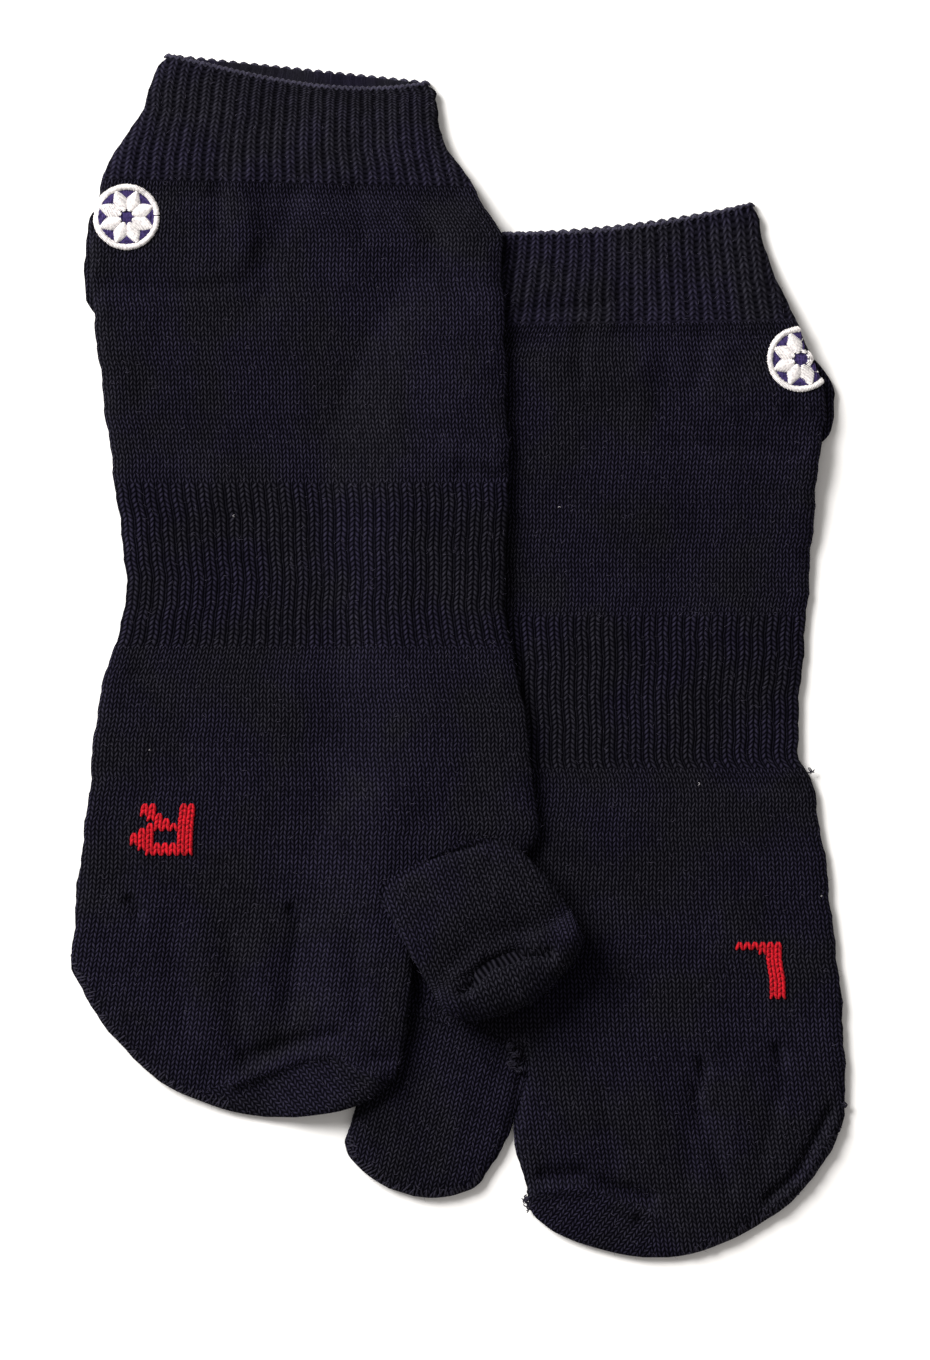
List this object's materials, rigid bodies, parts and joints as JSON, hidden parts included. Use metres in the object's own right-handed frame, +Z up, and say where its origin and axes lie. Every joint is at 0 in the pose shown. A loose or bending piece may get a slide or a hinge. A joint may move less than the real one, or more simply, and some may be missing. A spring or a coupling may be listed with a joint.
{
  "type": "pair of toe socks",
  "caption": "Knitted ankle socks with a separate big toe, laid flat instep up, the right lapped over the left with its big-toe stall folded back.",
  "frame": {"origin": "on the surface that the socks lie on, under the middle of the pair", "axes": "+Z up from the surface, +Y from the toes towards the cuffs, +X from the right sock towards the left sock"},
  "size_m": [0.193, 0.2996, 0.0163],
  "materials": {
    "knit": "matte knitted cotton, navy black",
    "red_yarn": "matte knitted cotton, red",
    "white_thread": "satin embroidery thread, white"
  },
  "bodies": {
    "root": {"sock_right": "knit", "sock_left": "knit"}
  },
  "joints": []
}
